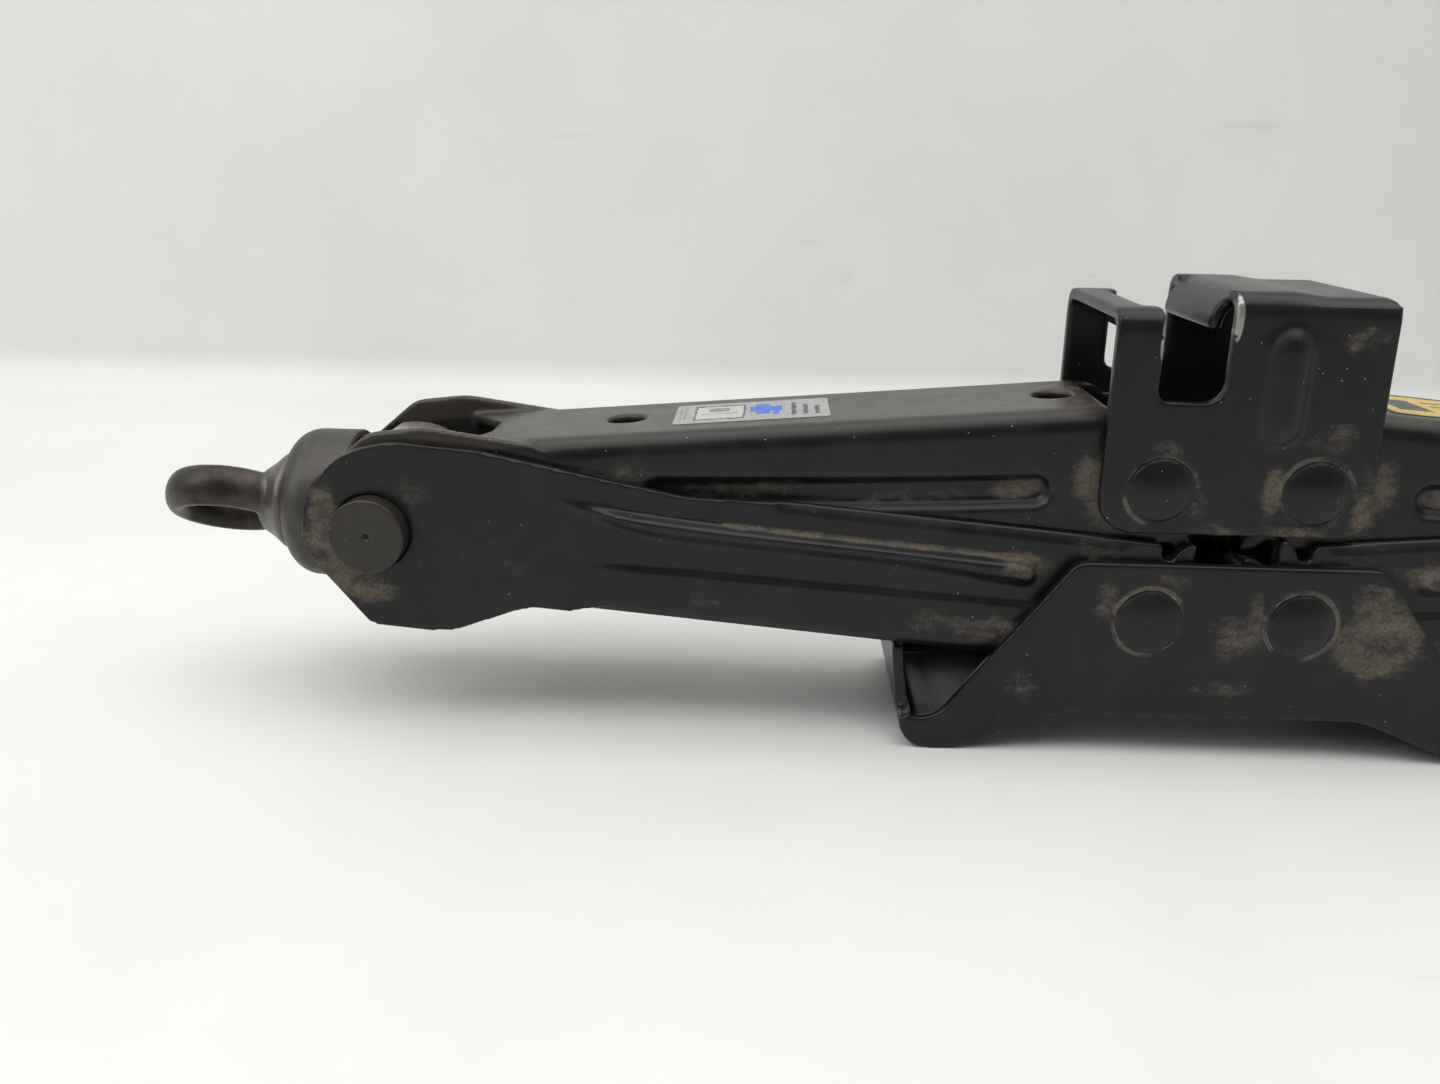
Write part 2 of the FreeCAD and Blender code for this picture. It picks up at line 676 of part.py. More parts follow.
def stop_pin():
    reach = STOP_RADIUS + 0.4
    return rod_z(STOP_X + STOP_LENGTH / 2, 0, EYE_PIN_RADIUS, -reach, reach)


def at_elbow(shape, side):
    """Carry a drive line piece from the origin to the left (-1) or right (+1) trunnion axis."""
    shape.translate(Vector(side * TRUNNION_X, 0, TRUNNION_Z))
    return shape


# ---- labels -------------------------------------------------------------------------------------

LABEL_THICKNESS = 0.12


def arm_label(start, end, half_width):
    """A sticker on an upper arm's web, in the arm's own frame."""
    corners = [
        (start, -half_width, 1),
        (end, -half_width, 1),
        (end, half_width, 1),
        (start, half_width, 1),
    ]
    return top_plate(corners, UPPER_WEB, UPPER_WEB + LABEL_THICKNESS)


# ---- every node ---------------------------------------------------------------------------------


def all_nodes():
    left_upper = upper_arm(LEFT_PHASE, WEB_HOLES, RUNNING_CLEARANCE)
    right_upper = upper_arm(RIGHT_PHASE, WEB_HOLES[:1], OPEN_PIVOT_CLEARANCE)
    return {
        "base_bracket": base_bracket(),
        "base_pin_left": rivet(-PIN_X, BASE_PIN_Z, BASE_OUTSIDE),
        "base_pin_right": rivet(PIN_X, BASE_PIN_Z, BASE_OUTSIDE),
        "lower_left_arm": placed_arm(lower_arm(LEFT_PHASE), REST_ANGLE),
        "lower_right_arm": swapped(placed_arm(lower_arm(RIGHT_PHASE), REST_ANGLE)),
        "upper_left_arm": placed_arm(left_upper, -REST_ANGLE),
        "upper_right_arm": swapped(placed_arm(right_upper, -REST_ANGLE)),
        "saddle_bracket": saddle_bracket(),
        "saddle_pin_left": rivet(-PIN_X, SADDLE_PIN_Z, LOWER_OUTSIDE),
        "saddle_pin_right": rivet(PIN_X, SADDLE_PIN_Z, LOWER_OUTSIDE),
        "drive_trunnion": at_elbow(trunnion_block(True), -1),
        "nut_trunnion": at_elbow(trunnion_block(False), 1),
        "lead_screw": lead_screw(),
        "drive_eye": at_elbow(drive_eye(), -1),
        "eye_pin": at_elbow(eye_pin(), -1),
        "bearing_cup": at_elbow(bearing_cup(), -1),
        "thrust_washer_fixed": at_elbow(fixed_washer(), -1),
        "thrust_balls": at_elbow(Part.makeCompound(ball_row()), -1),
        "ball_cage": at_elbow(ball_cage(), -1),
        "thrust_washer_turning": at_elbow(turning_washer(), -1),
        "stop_collar": at_elbow(stop_collar(), 1),
        "stop_pin": at_elbow(stop_pin(), 1),
        "rating_label": placed_arm(arm_label(62.7, 95.8, 10.0), -REST_ANGLE),
        "caution_label": swapped(placed_arm(arm_label(100.0, 144.5, 13.0), -REST_ANGLE)),
    }


os.makedirs("parts", exist_ok=True)
for name, shape in all_nodes().items():
    shape.exportStep(f"parts/{name}.step")
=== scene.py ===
import json
import math
from functools import partial

import bmesh
import bpy
import numpy as np
from mathutils import Matrix, Vector


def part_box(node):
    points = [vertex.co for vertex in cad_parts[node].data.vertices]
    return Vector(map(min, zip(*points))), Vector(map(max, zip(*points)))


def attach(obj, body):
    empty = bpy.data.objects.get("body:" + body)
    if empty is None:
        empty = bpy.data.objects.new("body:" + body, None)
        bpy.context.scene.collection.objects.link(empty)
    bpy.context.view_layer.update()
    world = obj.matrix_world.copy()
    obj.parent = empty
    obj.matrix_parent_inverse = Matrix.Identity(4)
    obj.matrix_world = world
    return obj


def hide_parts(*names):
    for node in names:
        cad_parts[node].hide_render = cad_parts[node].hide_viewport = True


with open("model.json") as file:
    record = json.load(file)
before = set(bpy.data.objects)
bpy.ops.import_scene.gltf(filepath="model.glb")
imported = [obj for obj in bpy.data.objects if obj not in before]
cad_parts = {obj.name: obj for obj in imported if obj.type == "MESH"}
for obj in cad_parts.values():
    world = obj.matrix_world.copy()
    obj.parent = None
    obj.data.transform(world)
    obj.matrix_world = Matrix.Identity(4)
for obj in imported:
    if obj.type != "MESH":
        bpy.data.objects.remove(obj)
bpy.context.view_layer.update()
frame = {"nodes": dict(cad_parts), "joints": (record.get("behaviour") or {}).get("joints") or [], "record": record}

MM = 0.001

# ---- places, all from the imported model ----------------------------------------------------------

SADDLE_BEAD = 1.4 * MM  # how far the saddle's upright bead stands out of its sides

JOINT_AT = {j["name"]: Vector(j["pos_m"]) for j in frame["joints"]}
UPPER_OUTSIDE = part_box("upper_left_arm")[1].y
# The saddle's flat sides are flush with those of the lower arms.
LOWER_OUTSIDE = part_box("saddle_bracket")[1].y - SADDLE_BEAD

# Each arm's joint at its trunnion and the joint at its geared pivot.
ARMS = {
    "lower_left_arm": ("left_elbow_lower", "lift_fold"),
    "lower_right_arm": ("right_elbow_lower", "lower_right_fold"),
    "upper_left_arm": ("left_elbow_lower", "saddle_left_pivot"),
    "upper_right_arm": ("right_elbow_lower", "saddle_right_pivot"),
}


def arm_axes(node):
    """The arm's own frame: its trunnion, the direction to its geared pivot, and its up direction."""
    elbow, pivot = ARMS[node]
    start = JOINT_AT[elbow]
    along = (JOINT_AT[pivot] - start).normalized()
    up = Vector((-along.z, 0, along.x))
    if up.z < 0:
        up.negate()
    return start, along, up


# ---- mesh helpers -------------------------------------------------------------------------------

WELD = 0.002 * MM
SMOOTHING = 0.5  # share of the way to its neighbours' middle that a point moves in one round


def copied_mesh(node):
    """The node's mesh with its seams welded, as a new object."""
    mesh = frame["nodes"][node].data.copy()
    mesh.materials.clear()
    piece = bpy.data.objects.new("visual_" + node, mesh)
    bpy.context.scene.collection.objects.link(piece)
    work = bmesh.new()
    work.from_mesh(mesh)
    bmesh.ops.remove_doubles(work, verts=work.verts, dist=WELD)
    work.to_mesh(mesh)
    work.free()
    return piece


def bake_modifiers(piece):
    """Give the piece the mesh that its modifiers make, and drop them."""
    graph = bpy.context.evaluated_depsgraph_get()
    mesh = bpy.data.meshes.new_from_object(piece.evaluated_get(graph))
    piece.modifiers.clear()
    old = piece.data
    piece.data = mesh
    bpy.data.meshes.remove(old)


def refined(node, voxel, rounds, slope=0.0):
    """A finely cut copy of the node whose edges are slightly rounded, as a pressing's are.

    slope is the node's tilt about Y; it is levelled while it is cut, so that its long edges
    lie along the grid.
    """
    piece = copied_mesh(node)
    level = Matrix.Rotation(slope, 4, "Y")
    piece.data.transform(level)
    remesh = piece.modifiers.new("remesh", "REMESH")
    remesh.mode = "VOXEL"
    remesh.voxel_size = voxel
    smooth = piece.modifiers.new("smooth", "SMOOTH")
    smooth.factor = SMOOTHING
    smooth.iterations = rounds
    bake_modifiers(piece)
    piece.data.transform(level.inverted())
    shade_smooth(piece)
    return piece


def shade_smooth(piece):
    """Shade every face of the piece smoothly."""
    piece.data.polygons.foreach_set("use_smooth", [True] * len(piece.data.polygons))


def read_points(piece):
    """The mesh's points, one per row, in metres."""
    points = np.empty(len(piece.data.vertices) * 3, np.float64)
    piece.data.vertices.foreach_get("co", points)
    return points.reshape(-1, 3)


def write_points(piece, points):
    """Move the mesh's points to these places."""
    piece.data.vertices.foreach_set("co", points.astype(np.float32).ravel())
    piece.data.update()


def ramp(values, low, high):
    """0 below low, 1 above high, and a smooth step between."""
    t = np.clip((values - low) / (high - low), 0, 1)
    return t * t * (3 - 2 * t)


def stands_for(piece, node):
    """Let the piece take the node's place, on the same body."""
    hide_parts(node)
    body = next(b for b, ns in frame["record"]["behaviour"]["bodies"].items() if node in ns)
    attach(piece, body)


# ---- node graphs --------------------------------------------------------------------------------

MM_PER_METRE = 1000.0
CREVICE_RAYS = 6
OVAL_CORE = 0.15  # share of an oval's reach that is at full strength


class Graph:
    """Short calls for building a material's node tree. Sizes ending in _mm are in millimetres."""

    def __init__(self, name):
        self.material = bpy.data.materials.new(name)
        self.material.use_nodes = True
        self.tree = self.material.node_tree
        self.tree.nodes.clear()
        self.place = self.add("ShaderNodeTexCoord").outputs["Object"]
        self.generated = self.place.node.outputs["Generated"]

    def add(self, kind, **settings):
        """A new node with these settings."""
        node = self.tree.nodes.new(kind)
        for key, value in settings.items():
            setattr(node, key, value)
        return node

    def put(self, socket, value):
        """Link a socket to the input, or set its value."""
        if isinstance(value, bpy.types.NodeSocket):
            self.tree.links.new(value, socket)
        elif isinstance(value, tuple) and len(value) == 3 and socket.type == "RGBA":
            socket.default_value = (*value, 1.0)
        else:
            socket.default_value = value

    def math(self, operation, first, second=0.0, clamp=False):
        """One arithmetic node; clamp holds its result between 0 and 1."""
        node = self.add("ShaderNodeMath", operation=operation, use_clamp=clamp)
        self.put(node.inputs[0], first)
        self.put(node.inputs[1], second)
        return node.outputs[0]

    def times(self, first, second):
        """The product, held between 0 and 1."""
        return self.math("MULTIPLY", first, second, True)

    def plus(self, first, second):
        """The sum, held between 0 and 1."""
        return self.math("ADD", first, second, True)

    def step(self, value, low, high, start=0.0, end=1.0):
        """start at low and before, end at high and past it, and a smooth step between."""
        node = self.add("ShaderNodeMapRange", interpolation_type="SMOOTHSTEP")
        for key, amount in (
            ("Value", value),
            ("From Min", low),
            ("From Max", high),
            ("To Min", start),
            ("To Max", end),
        ):
            self.put(node.inputs[key], amount)
        return node.outputs["Result"]

    def stretched(self, scale):
        """The place scaled along X, Y and Z, for a pattern that is longer one way."""
        node = self.add("ShaderNodeMapping")
        self.put(node.inputs["Vector"], self.place)
        node.inputs["Scale"].default_value = scale
        return node.outputs["Vector"]

    def noise(self, size_mm, detail=4.0, rough=0.55, vector=None, warp=0.0):
        """Cloudy noise from 0 to 1 whose largest blobs are about size_mm across."""
        node = self.add("ShaderNodeTexNoise")
        self.put(node.inputs["Vector"], self.place if vector is None else vector)
        node.inputs["Scale"].default_value = MM_PER_METRE / size_mm
        node.inputs["Detail"].default_value = detail
        node.inputs["Roughness"].default_value = rough
        node.inputs["Distortion"].default_value = warp
        return node.outputs["Fac"]

    def specks(self, size_mm, reach):
        """Dots about size_mm apart; reach is a dot's radius as a share of that."""
        node = self.add("ShaderNodeTexVoronoi")
        self.put(node.inputs["Vector"], self.place)
        node.inputs["Scale"].default_value = MM_PER_METRE / size_mm
        return self.step(node.outputs["Distance"], reach, reach * 0.5)

    def mix(self, amount, first, second):
        """The first colour where amount is 0, the second where it is 1."""
        node = self.add("ShaderNodeMix", data_type="RGBA")
        self.put(node.inputs[0], amount)
        self.put(node.inputs[6], first)
        self.put(node.inputs[7], second)
        return node.outputs[2]

    def axes(self):
        """The place's X, Y and Z, in metres."""
        node = self.add("ShaderNodeSeparateXYZ")
        self.put(node.inputs[0], self.place)
        return node.outputs

    def crevice(self, reach_mm):
        """1 deep in a corner, 0 on open surface."""
        node = self.add("ShaderNodeAmbientOcclusion", samples=CREVICE_RAYS)
        node.inputs["Distance"].default_value = reach_mm * MM
        return self.math("SUBTRACT", 1.0, node.outputs["AO"], True)

    def near_axis(self, x, z, low_mm, high_mm):
        """1 within low_mm of a pin's axis, falling to 0 at high_mm."""
        across = self.axes()
        dx = self.math("SUBTRACT", across["X"], x)
        dz = self.math("SUBTRACT", across["Z"], z)
        squared = self.math("ADD", self.math("MULTIPLY", dx, dx), self.math("MULTIPLY", dz, dz))
        return self.step(self.math("SQRT", squared), high_mm * MM, low_mm * MM)

    def edge(self, low, high):
        """1 on a sharp outward edge."""
        geometry = self.add("ShaderNodeNewGeometry")
        return self.step(geometry.outputs["Pointiness"], low, high)

    def along(self, origin, direction):
        """Distance in millimetres from origin, measured along a direction."""
        offset = self.add("ShaderNodeVectorMath", operation="SUBTRACT")
        self.put(offset.inputs[0], self.place)
        offset.inputs[1].default_value = origin
        dot = self.add("ShaderNodeVectorMath", operation="DOT_PRODUCT")
        self.put(dot.inputs[0], offset.outputs[0])
        dot.inputs[1].default_value = direction
        return self.math("DIVIDE", dot.outputs["Value"], MM)

    def band(self, value, low, high, soft):
        """1 between low and high, fading over soft on both sides."""
        rising = self.step(value, low - soft, low + soft)
        return self.times(rising, self.step(value, high + soft, high - soft))

    def patch(self, s, n, middle, reach):
        """1 in the core of an oval in the (s, n) plane, 0 from its rim outwards."""
        ds = self.math("DIVIDE", self.math("SUBTRACT", s, middle[0]), reach[0])
        dn = self.math("DIVIDE", self.math("SUBTRACT", n, middle[1]), reach[1])
        squared = self.math("ADD", self.math("MULTIPLY", ds, ds), self.math("MULTIPLY", dn, dn))
        return self.step(self.math("SQRT", squared), 1.0, OVAL_CORE)

    def patches(self, s, n, spots):
        """Ovals added together; each is (middle, reach, strength)."""
        total = 0.0
        for middle, reach, strength in spots:
            total = self.plus(total, self.times(self.patch(s, n, middle, reach), strength))
        return total

    def finish(self, color, roughness, metallic, bumps, specular=0.5):
        """Close the tree with one shader. Each bump is (height, strength, depth in mm)."""
        shader = self.add("ShaderNodeBsdfPrincipled")
        self.put(shader.inputs["Base Color"], color)
        self.put(shader.inputs["Roughness"], roughness)
        self.put(shader.inputs["Metallic"], metallic)
        shader.inputs["Specular IOR Level"].default_value = specular
        normal = None
        for height, strength, depth_mm in bumps:
            bump = self.add("ShaderNodeBump")
            bump.inputs["Strength"].default_value = strength
            bump.inputs["Distance"].default_value = depth_mm * MM
            self.put(bump.inputs["Height"], height)
            if normal is not None:
                self.put(bump.inputs["Normal"], normal)
            normal = bump.outputs["Normal"]
        if normal is not None:
            self.put(shader.inputs["Normal"], normal)
        output = self.add("ShaderNodeOutputMaterial")
        self.put(output.inputs["Surface"], shader.outputs[0])
        return self.material


# ---- materials ----------------------------------------------------------------------------------

PAINT = (0.0062, 0.0065, 0.0075)
PAINT_GREY = (0.0125, 0.0125, 0.0130)
# Tone of the dust, and of the painted sheen on the upper arms' web.
DUST_AND_SHEEN = (0.185, 0.148, 0.108)
PALE_DUST = (0.42, 0.35, 0.25)
BARE_STEEL = (0.38, 0.37, 0.35)

FORGED_BLACK = (0.014, 0.011, 0.010)
FORGED_GREY = (0.118, 0.108, 0.097)
FORGED_STAIN = (0.135, 0.105, 0.080)
CREVICE_RUST = (0.135, 0.070, 0.030)
CUP_DARK = (0.052, 0.048, 0.043)
CUP_LIGHT = (0.074, 0.069, 0.062)
CUP_RUST = (0.17, 0.105, 0.055)
WORN_EDGE = (0.42, 0.40, 0.37)
OLD_GREASE = (0.095, 0.062, 0.034)

THREAD_STEEL = (0.20, 0.185, 0.165)
BLOCK_STEEL = (0.36, 0.34, 0.30)
BEARING_STEEL = (0.34, 0.33, 0.31)
CAGE_STEEL = (0.28, 0.22, 0.12)

PRINT_GREY = (0.20, 0.205, 0.21)
PRINT_DARK = (0.06, 0.065, 0.07)
PRINT_PALE = (0.50, 0.505, 0.50)
PRINT_BLUE = (0.045, 0.15, 0.60)
PRINT_YELLOW = (0.72, 0.50, 0.12)
SILVER_FILM = (0.36, 0.365, 0.36)
BLACK_FILM = (0.05, 0.05, 0.05)
SCUFFED_FILM = (0.16, 0.15, 0.14)

BOARD_SHADE = (0.725, 0.735, 0.715)
BOARD_LIGHT = (0.775, 0.785, 0.765)
BOARD_SMUDGE = (0.56, 0.565, 0.54)
BOARD_SCRATCH = (0.45, 0.45, 0.43)

RIVET_RING = (7.45, 7.95)  # radii in mm between which the ring of dust round a rivet head fades
CUP_CLEAR = 9.0 * MM  # the cup's rust starts this far from its open rim
CUP_FULL = 6.0 * MM  # and is at its full strength from here to the rim


# In the dirt tables below each row is (middle, reach, strength), with the middle and the reach of
# an oval as (along, across) in millimetres.


def arm_plane(node, g):
    """Distances in millimetres along the arm from its trunnion, and across it."""
    start, along, up = arm_axes(node)
    return g.along(start, along), g.along(start, up)


def lower_arm_dirt(node, g):
    """Dust on the bead's upper ledge, at its end, below the jog and round the trunnion."""
    s, n = arm_plane(node, g)
    ledge = g.band(n, 9.1, 10.2, 0.5)
    ledge = g.times(ledge, g.band(s, 70.0, 130.0, 9.0))
    spots = (
        ((134.0, 8.0), (9.0, 5.0), 0.9),
        ((126.0, -6.5), (30.0, 6.0), 0.75),
        ((70.0, -7.0), (10.0, 4.0), 0.55),
        ((-9.5, -4.0), (8.0, 15.0), 1.1),
        ((-2.0, -11.0), (12.0, 6.0), 0.75),
        ((-10.5, 5.0), (5.0, 8.0), 0.75),
        ((3.0, -14.0), (14.0, 5.0), 0.45),
        ((9.0, 8.0), (9.0, 7.0), 0.50),
        ((25.0, -6.0), (16.0, 12.0), 0.42),
        ((148.0, 12.0), (14.0, 6.0), 0.55),
    )
    return g.plus(g.math("MULTIPLY", ledge, 1.25), g.patches(s, n, spots))


def upper_arm_dirt(node, g):
    """Dust above the edge of the lower arm, in the groove, and beside the saddle."""
    s, n = arm_plane(node, g)
    spots = (
        ((52.0, 8.0), (22.0, 5.5), 0.72),
        ((76.0, 3.5), (24.0, 4.0), 0.70),
        ((112.0, 0.0), (30.0, 3.6), 0.62),
        ((133.0, 0.6), (9.0, 3.6), 1.15),
        ((147.0, 2.0), (7.5, 11.0), 1.0),
        ((152.0, -6.0), (9.0, 6.0), 0.9),
        ((145.0, 17.0), (10.0, 3.0), 0.8),
    )
    return g.patches(s, n, spots)


def bracket_dirt(left_pin, right_pin, spots_left, spots_right):
    """Dust placed from the two pins of a bracket; the middles are measured from each pin."""

    def dirt(g):
        total = 0.0
        for pin, spots in ((left_pin, spots_left), (right_pin, spots_right)):
            s = g.along(pin, (1, 0, 0))
            n = g.along(pin, (0, 0, 1))
            total = g.plus(total, g.patches(s, n, spots))
        return total

    return dirt


def base_dirt():
    """Dust beside the base's pins and along its lower edge, thickest right of the right pin."""
    left = (
        ((-8.5, 4.0), (5.0, 8.0), 0.95),
        ((3.0, 9.0), (9.0, 3.5), 0.65),
        ((-24.0, -14.5), (7.0, 6.0), 0.60),
        ((16.0, -14.0), (16.0, 4.0), 0.55),
    )
    right = (
        ((-13.0, -3.0), (10.0, 7.5), 0.85),
        ((15.5, -3.0), (15.0, 12.0), 1.6),
        ((13.0, 7.0), (9.0, 5.0), 0.75),
        ((-9.0, 3.0), (3.5, 7.0), 0.9),
    )
    return bracket_dirt(JOINT_AT["lift_fold"], JOINT_AT["lower_right_fold"], left, right)


def saddle_dirt():
    """Dust round the saddle's pins, along its lower edge and up its sides."""
    left = (
        ((0.0, 8.5), (8.0, 4.0), 0.75),
        ((8.5, -2.0), (5.0, 8.0), 0.55),
        ((12.0, -8.5), (9.0, 3.5), 0.75),
        ((-2.0, 32.0), (4.0, 20.0), 0.40),
    )
    right = (
        ((-8.5, 0.0), (4.0, 9.0), 0.95),
        ((-3.0, -9.0), (14.0, 4.5), 0.80),
        ((10.0, -3.0), (5.0, 15.0), 0.85),
        ((2.0, 11.0), (10.0, 6.0), 0.65),
        ((4.0, 30.0), (9.0, 5.0), 0.70),
    )
    return bracket_dirt(
        JOINT_AT["saddle_left_pivot"], JOINT_AT["saddle_right_pivot"], left, right
    )


def black_paint(name, dirt=None, pins=(), film=None, chips=()):
    """Satin black paint with dust where it gathers, rings round the pins, worn edges and a pale film.

    dirt and film are functions of the graph that give the strength of the dust and of an even
    pale film of it, which on the upper arms' web is also a painted sheen of grazing light. pins
    are (x, z) in metres, and chips are as chip says.
    """
    g = Graph(name)
    cloud = g.noise(14.0, 6.0, 0.62, warp=0.6)
    broad = g.noise(8.0, 10.0, 0.72, vector=g.stretched((0.5, 1.0, 1.0)), warp=0.35)
    small = g.noise(2.2, 6.0, 0.70, vector=g.stretched((0.6, 1.0, 1.0)), warp=0.5)
    blotch = g.math("ADD", g.math("MULTIPLY", broad, 0.5), g.math("MULTIPLY", small, 0.5))
    grain = g.noise(0.6, 2.0, 0.5)
    where = dirt(g) if dirt else 0.0
    corner = g.times(g.step(g.crevice(4.0), 0.45, 0.9), 0.55)
    where = g.math("ADD", where, corner)
    dust = g.step(g.math("ADD", blotch, g.math("MULTIPLY", where, 0.30)), 0.62, 0.88)
    for x, z in pins:
        ring = g.times(g.near_axis(x, z, *RIVET_RING), g.step(cloud, 0.42, 0.56))
        dust = g.plus(dust, g.times(ring, 0.85))
    dust = g.times(dust, g.step(grain, 0.28, 0.64, 0.50, 1.0))
    clump = g.step(g.noise(24.0), 0.46, 0.60)
    grit = g.plus(g.times(g.specks(3.1, 0.062), clump), g.specks(9.0, 0.026))
    edge = g.times(g.edge(0.555, 0.620), g.step(g.noise(5.0, 4.0), 0.34, 0.62, 0.10, 1.0))
    color = g.mix(g.step(cloud, 0.35, 0.7), PAINT, PAINT_GREY)
    # The film is dust; on the upper arms' web it also paints the sheen of grazing light.
    if film:
        thin = g.step(g.noise(30.0, 6.0, 0.6), 0.25, 0.75, 0.14, 0.22)
        color = g.mix(g.times(film(g), thin), color, DUST_AND_SHEEN)
    color = g.mix(g.times(edge, 0.42), color, BARE_STEEL)
    color = g.mix(g.times(dust, 0.72), color, DUST_AND_SHEEN)
    color = g.mix(g.times(grit, 0.75), color, PALE_DUST)
    bare = 0.0
    for spot in chips:
        bare = g.plus(bare, g.times(chip(g, spot), g.step(g.noise(1.6, 4.0), 0.36, 0.46)))
    color = g.mix(bare, color, BARE_STEEL)
    rough = g.step(cloud, 0.30, 0.75, 0.27, 0.36)
    rough = g.math("ADD", rough, g.math("MULTIPLY", dust, 0.40), True)
    bumps = (
        (g.noise(1.3, 3.0, 0.5), 0.08, 0.05),
        (g.plus(dust, grit), 0.35, 0.10),
    )
    return g.finish(color, rough, g.times(bare, 0.8), bumps, specular=0.32)


def chip(g, spot):
    """A chipped place on the front face. spot is (middle in m, half width, half height in mm)."""
    middle, half_width, half_height = spot
    s = g.along(middle, (1, 0, 0))
    n = g.along(middle, (0, 0, 1))
    depth = g.along(middle, (0, 1, 0))
    oval = g.patch(s, n, (0.0, 0.0), (half_width * 1.6, half_height * 1.3))
    return g.times(g.step(oval, 0.1, 0.4), g.step(depth, 4.0, 3.0))


def eye_steel(name, dark_to, light_from):
    """Forged steel, nearly black up to dark_to and grey from light_from on, both places in X."""
    g = Graph(name)
    cloud = g.noise(9.0, 6.0, 0.6, warp=0.8)
    fine = g.noise(0.7, 3.0, 0.55)
    x = g.axes()["X"]
    tone = g.mix(g.step(x, dark_to, light_from), FORGED_BLACK, FORGED_GREY)
    color = g.mix(g.times(g.step(cloud, 0.35, 0.68), 0.35), tone, FORGED_STAIN)
    rust = g.times(g.step(g.crevice(3.0), 0.35, 0.9), g.step(cloud, 0.35, 0.6))
    color = g.mix(g.times(rust, 0.6), color, CREVICE_RUST)
    rough = g.step(fine, 0.3, 0.7, 0.33, 0.44)
    return g.finish(color, rough, 0.55, ((fine, 0.14, 0.07), (cloud, 0.15, 0.25)))


def cup_steel(name, inside, rim_x):
    """Drawn steel, satin grey outside and rusty brown in the hollow behind the open rim.

    A surface is in the hollow when it is nearer to the screw's axis than inside, in metres, and
    past a place just behind the rim, which is at rim_x. The stop collar is, so it is all rusty.
    """
    g = Graph(name)
    cloud = g.noise(9.0, 6.0, 0.6, vector=g.stretched((2.5, 1.0, 1.0)), warp=0.6)
    fine = g.noise(0.6, 3.0, 0.55)
    axis_z = JOINT_AT["screw_turn"].z
    across = g.axes()
    z = g.math("SUBTRACT", across["Z"], axis_z)
    y = across["Y"]
    squared = g.math("ADD", g.math("MULTIPLY", y, y), g.math("MULTIPLY", z, z))
    hollow = g.step(g.math("SQRT", squared), inside, inside - 0.5 * MM)
    hollow = g.times(hollow, g.step(across["X"], rim_x - CUP_CLEAR, rim_x - CUP_FULL))
    color = g.mix(g.step(cloud, 0.35, 0.68), CUP_DARK, CUP_LIGHT)
    color = g.mix(hollow, color, CUP_RUST)
    color = g.mix(g.times(g.edge(0.53, 0.60), 0.25), color, WORN_EDGE)
    rough = g.step(fine, 0.3, 0.7, 0.40, 0.50)
    return g.finish(color, rough, g.math("SUBTRACT", 0.6, hollow, True), ((fine, 0.14, 0.07),))


def greased_steel(name, tint):
    """Bare turned steel under a film of old brown grease."""
    g = Graph(name)
    cloud = g.noise(5.0, 6.0, 0.62, warp=0.9)
    fine = g.noise(0.5, 3.0, 0.5)
    color = g.mix(g.times(g.step(cloud, 0.42, 0.70), 0.7), tint, OLD_GREASE)
    rough = g.step(cloud, 0.3, 0.7, 0.30, 0.55)
    return g.finish(color, rough, 0.65, ((fine, 0.2, 0.06),))


def film_label(name, ground, marks):
    """A printed film: a plain ground and blocks of colour with worn edges, with no lettering.

    marks are (x low, x high, y low, y high, colour) in shares of the label's own length and width.
    """
    ragged = 0.10
    g = Graph(name)
    split = g.add("ShaderNodeSeparateXYZ")
    g.put(split.inputs[0], g.generated)
    wobble = g.math("MULTIPLY", g.math("SUBTRACT", g.noise(1.6, 3.0), 0.5), ragged)
    x = g.math("ADD", split.outputs["X"], g.math("MULTIPLY", wobble, 0.35))
    y = g.math("ADD", split.outputs["Y"], wobble)
    soft = 0.006
    color = ground
    for x_low, x_high, y_low, y_high, tone in marks:
        inside = g.times(g.step(x, x_low - soft, x_low), g.step(x, x_high, x_high - soft))
        across = g.times(g.step(y, y_low - soft, y_low), g.step(y, y_high, y_high - soft))
        color = g.mix(g.times(inside, across), color, tone)
    scuff = g.times(g.step(g.noise(3.0, 6.0, 0.7), 0.55, 0.75), 0.35)
    color = g.mix(scuff, color, SCUFFED_FILM)
    rough = g.step(g.noise(2.0), 0.3, 0.7, 0.32, 0.5)
    return g.finish(color, rough, 0.25, ((g.noise(1.0, 3.0), 0.1, 0.04),))


def pale_floor():
    """Off-white board with faint clouds and a few fine scratches."""
    g = Graph("stage_floor")
    cloud = g.noise(160.0, 6.0, 0.6)
    color = g.mix(g.step(cloud, 0.3, 0.7), BOARD_SHADE, BOARD_LIGHT)
    smudge = g.step(g.noise(45.0, 8.0, 0.7), 0.60, 0.80)
    color = g.mix(g.times(smudge, 0.30), color, BOARD_SMUDGE)
    scratch = g.noise(7.0, 2.0, 0.5, vector=g.stretched((0.10, 1.0, 1.0)), warp=0.6)
    color = g.mix(g.times(g.step(scratch, 0.735, 0.76), 0.10), color, BOARD_SCRATCH)
    rough = g.step(g.noise(30.0, 5.0), 0.3, 0.7, 0.34, 0.50)
    sheet = g.finish(color, rough, 0.0, ((g.noise(4.0, 5.0), 0.12, 0.1),), specular=0.35)
    clear_from_behind(g)
    return sheet


